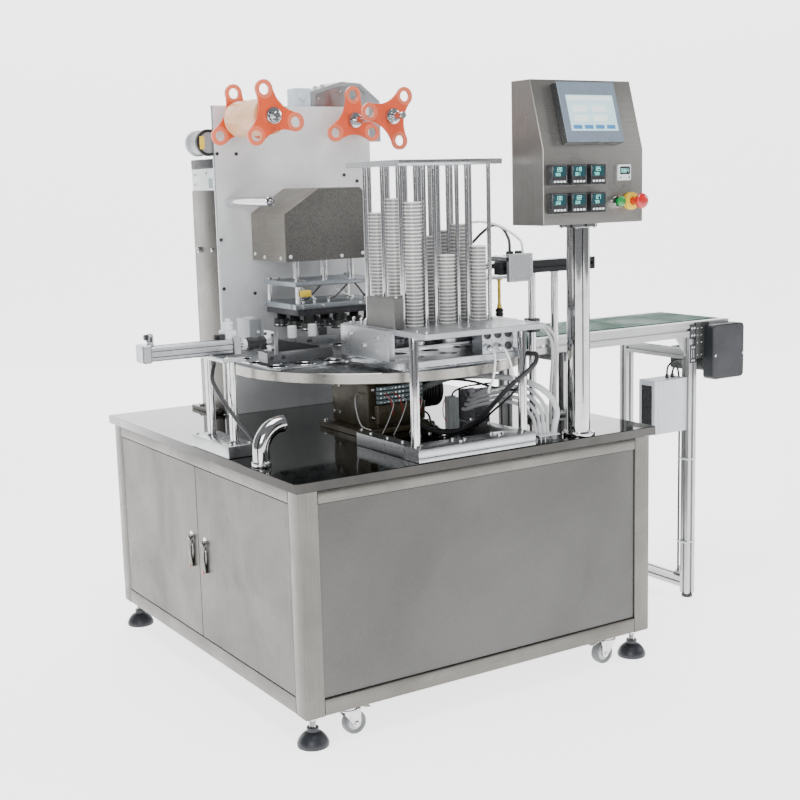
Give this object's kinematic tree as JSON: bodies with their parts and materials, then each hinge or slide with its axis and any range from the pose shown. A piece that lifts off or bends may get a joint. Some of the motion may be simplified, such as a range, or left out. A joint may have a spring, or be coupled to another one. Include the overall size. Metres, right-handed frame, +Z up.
{
  "type": "cup filling sealing machine",
  "caption": "Rotary machine on a wheeled steel cabinet: cup magazine, indexing table, film sealing press, control box on a pole and a discharge conveyor.",
  "frame": {"origin": "centre of the whole machine's footprint, on the floor", "axes": "+Z up, +X towards the discharge conveyor's end, -Y towards the operator's front with the control box"},
  "size_m": [1.899, 1.252, 1.616],
  "materials": {
    "cabinet_frame": "brushed",
    "worktop": "mirror polished",
    "front_panel": "hammered paint",
    "rear_panel": "hammered paint",
    "right_panel": "hammered paint",
    "floor_panel": "plain sheet",
    "door_near": "brushed",
    "door_far": "brushed",
    "latch_near": "polished",
    "latch_far": "polished",
    "index_drive": "painted dark grey",
    "rotary_table": "anodised",
    "magazine_base": "satin",
    "magazine_deck": "satin",
    "separator_box": "satin",
    "cup_load": "white plastic",
    "magazine_rods": "polished",
    "tower_column": "brushed",
    "tower_plate": "smooth paint",
    "unwind_reel": "orange anodised",
    "rewind_reel": "orange anodised",
    "film_roll": "wound film",
    "guide_roller": "polished",
    "seal_hood": "brushed",
    "press_cylinder": "anodised",
    "press_head": "satin",
    "slide_stand": "satin",
    "slide_cylinder": "anodised",
    "slide_carriage": "ground",
    "pole": "polished",
    "control_box": "brushed",
    "start_button": "green",
    "stop_button": "red",
    "touch_panel": "moulded",
    "conveyor_frame": "satin profile",
    "conveyor_belt": "smooth green",
    "drive_roller": "turned",
    "idler_roller": "turned",
    "conveyor_drive": "black",
    "speed_box": "pale grey",
    "gripper_stand": "black",
    "gripper_carriage": "satin",
    "gripper_lift": "satin",
    "elbow_pipe": "polished",
    "slide_cable": "black sheath",
    "drive_cable": "black sheath",
    "worktop_conduit": "pale grey",
    "air_hose": "clear white",
    "foot_front_left": "black",
    "caster_fork_front_left": "zinc plated",
    "caster_wheel_front_left": "grey",
    "foot_rear_left": "black",
    "caster_fork_rear_left": "zinc plated",
    "caster_wheel_rear_left": "grey",
    "foot_front_right": "black",
    "caster_fork_front_right": "zinc plated",
    "caster_wheel_front_right": "grey",
    "foot_rear_right": "black",
    "caster_fork_rear_right": "zinc plated",
    "caster_wheel_rear_right": "grey"
  },
  "bodies": {
    "machine": {"cabinet_frame": "cabinet_frame", "worktop": "worktop", "front_panel": "front_panel", "rear_panel": "rear_panel", "right_panel": "right_panel", "floor_panel": "floor_panel", "foot_front_left": "foot_front_left", "foot_rear_left": "foot_rear_left", "foot_front_right": "foot_front_right", "foot_rear_right": "foot_rear_right", "index_drive": "index_drive", "magazine_base": "magazine_base", "magazine_deck": "magazine_deck", "separator_box": "separator_box", "cup_load": "cup_load", "magazine_rods": "magazine_rods", "tower_column": "tower_column", "tower_plate": "tower_plate", "seal_hood": "seal_hood", "press_cylinder": "press_cylinder", "slide_stand": "slide_stand", "slide_cylinder": "slide_cylinder", "pole": "pole", "control_box": "control_box", "touch_panel": "touch_panel", "conveyor_frame": "conveyor_frame", "conveyor_belt": "conveyor_belt", "conveyor_drive": "conveyor_drive", "speed_box": "speed_box", "gripper_stand": "gripper_stand", "elbow_pipe": "elbow_pipe", "slide_cable": "slide_cable", "drive_cable": "drive_cable", "worktop_conduit": "worktop_conduit"},
    "table": {"rotary_table": "rotary_table"},
    "door_near": {"door_near": "door_near"},
    "door_far": {"door_far": "door_far"},
    "latch_near": {"latch_near": "latch_near"},
    "latch_far": {"latch_far": "latch_far"},
    "unwind": {"unwind_reel": "unwind_reel", "film_roll": "film_roll"},
    "rewind": {"rewind_reel": "rewind_reel"},
    "guide_roller": {"guide_roller": "guide_roller"},
    "press_head": {"press_head": "press_head"},
    "slide": {"slide_carriage": "slide_carriage"},
    "gripper": {"gripper_carriage": "gripper_carriage", "air_hose": "air_hose"},
    "lift": {"gripper_lift": "gripper_lift"},
    "drive_roller": {"drive_roller": "drive_roller"},
    "idler_roller": {"idler_roller": "idler_roller"},
    "start_button": {"start_button": "start_button"},
    "stop_button": {"stop_button": "stop_button"},
    "fork_front_left": {"caster_fork_front_left": "caster_fork_front_left"},
    "wheel_front_left": {"caster_wheel_front_left": "caster_wheel_front_left"},
    "fork_rear_left": {"caster_fork_rear_left": "caster_fork_rear_left"},
    "wheel_rear_left": {"caster_wheel_rear_left": "caster_wheel_rear_left"},
    "fork_front_right": {"caster_fork_front_right": "caster_fork_front_right"},
    "wheel_front_right": {"caster_wheel_front_right": "caster_wheel_front_right"},
    "fork_rear_right": {"caster_fork_rear_right": "caster_fork_rear_right"},
    "wheel_rear_right": {"caster_wheel_rear_right": "caster_wheel_rear_right"}
  },
  "joints": [
    {"name": "table_turn", "type": "hinge", "parent": "machine", "child": "table", "pos_m": [-0.2565, -0.062, 0.828], "axis": [0, 0, 1], "continuous": true},
    {"name": "door_near_hinge", "type": "hinge", "parent": "machine", "child": "door_near", "pos_m": [-0.7595, -0.4835, 0.1221], "axis": [0, 0, 1], "range_deg": [0, 100]},
    {"name": "door_far_hinge", "type": "hinge", "parent": "machine", "child": "door_far", "pos_m": [-0.7595, 0.5575, 0.1221], "axis": [0, 0, -1], "range_deg": [0, 100]},
    {"name": "latch_near_turn", "type": "hinge", "parent": "door_near", "child": "latch_near", "pos_m": [-0.7625, -0.0055, 0.386], "axis": [-1, 0, 0], "range_deg": [0, 90]},
    {"name": "latch_far_turn", "type": "hinge", "parent": "door_far", "child": "latch_far", "pos_m": [-0.7625, 0.0795, 0.386], "axis": [1, 0, 0], "range_deg": [0, 90]},
    {"name": "swivel_front_left", "type": "hinge", "parent": "machine", "child": "fork_front_left", "pos_m": [-0.6365, -0.51, 0.0776], "axis": [0, 0, 1], "continuous": true},
    {"name": "roll_front_left", "type": "hinge", "parent": "fork_front_left", "child": "wheel_front_left", "pos_m": [-0.6205, -0.51, 0.033], "axis": [0, 1, 0], "continuous": true},
    {"name": "swivel_rear_left", "type": "hinge", "parent": "machine", "child": "fork_rear_left", "pos_m": [-0.6365, 0.584, 0.0776], "axis": [0, 0, 1], "continuous": true},
    {"name": "roll_rear_left", "type": "hinge", "parent": "fork_rear_left", "child": "wheel_rear_left", "pos_m": [-0.6205, 0.584, 0.033], "axis": [0, 1, 0], "continuous": true},
    {"name": "swivel_front_right", "type": "hinge", "parent": "machine", "child": "fork_front_right", "pos_m": [0.1835, -0.51, 0.0776], "axis": [0, 0, 1], "continuous": true},
    {"name": "roll_front_right", "type": "hinge", "parent": "fork_front_right", "child": "wheel_front_right", "pos_m": [0.1675, -0.51, 0.033], "axis": [0, 1, 0], "continuous": true},
    {"name": "swivel_rear_right", "type": "hinge", "parent": "machine", "child": "fork_rear_right", "pos_m": [0.1835, 0.584, 0.0776], "axis": [0, 0, 1], "continuous": true},
    {"name": "roll_rear_right", "type": "hinge", "parent": "fork_rear_right", "child": "wheel_rear_right", "pos_m": [0.1675, 0.584, 0.033], "axis": [0, 1, 0], "continuous": true},
    {"name": "unwind_turn", "type": "hinge", "parent": "machine", "child": "unwind", "pos_m": [-0.4495, 0.373, 1.499], "axis": [0, 1, 0], "continuous": true},
    {"name": "rewind_turn", "type": "hinge", "parent": "machine", "child": "rewind", "pos_m": [-0.0685, 0.373, 1.499], "axis": [0, 1, 0], "continuous": true},
    {"name": "guide_roller_turn", "type": "hinge", "parent": "machine", "child": "guide_roller", "pos_m": [-0.4675, 0.373, 1.27], "axis": [0, 1, 0], "continuous": true},
    {"name": "press_slide", "type": "slide", "parent": "machine", "child": "press_head", "axis": [0, 0, 1], "range_m": [-0.045, 0]},
    {"name": "feed_slide", "type": "slide", "parent": "machine", "child": "slide", "axis": [1, 0, 0], "range_m": [0, 0.08]},
    {"name": "gripper_slide", "type": "slide", "parent": "machine", "child": "gripper", "axis": [1, 0, 0], "range_m": [0, 0.232]},
    {"name": "lift_slide", "type": "slide", "parent": "gripper", "child": "lift", "axis": [0, 0, 1], "range_m": [-0.05, 0]},
    {"name": "drive_roller_turn", "type": "hinge", "parent": "machine", "child": "drive_roller", "pos_m": [0.9055, -0.237, 0.849], "axis": [0, 1, 0], "continuous": true},
    {"name": "idler_roller_turn", "type": "hinge", "parent": "machine", "child": "idler_roller", "pos_m": [0.1935, -0.237, 0.849], "axis": [0, 1, 0], "continuous": true},
    {"name": "start_press", "type": "slide", "parent": "machine", "child": "start_button", "axis": [0, 1, 0], "range_m": [0, 0.0035], "stiffness_N_per_m": 300, "springref_m": -0.002},
    {"name": "stop_press", "type": "slide", "parent": "machine", "child": "stop_button", "axis": [0, 1, 0], "range_m": [0, 0.005]}
  ],
  "couplings": [
    {"joint": "idler_roller_turn", "follows": "drive_roller_turn", "ratio": 1}
  ]
}
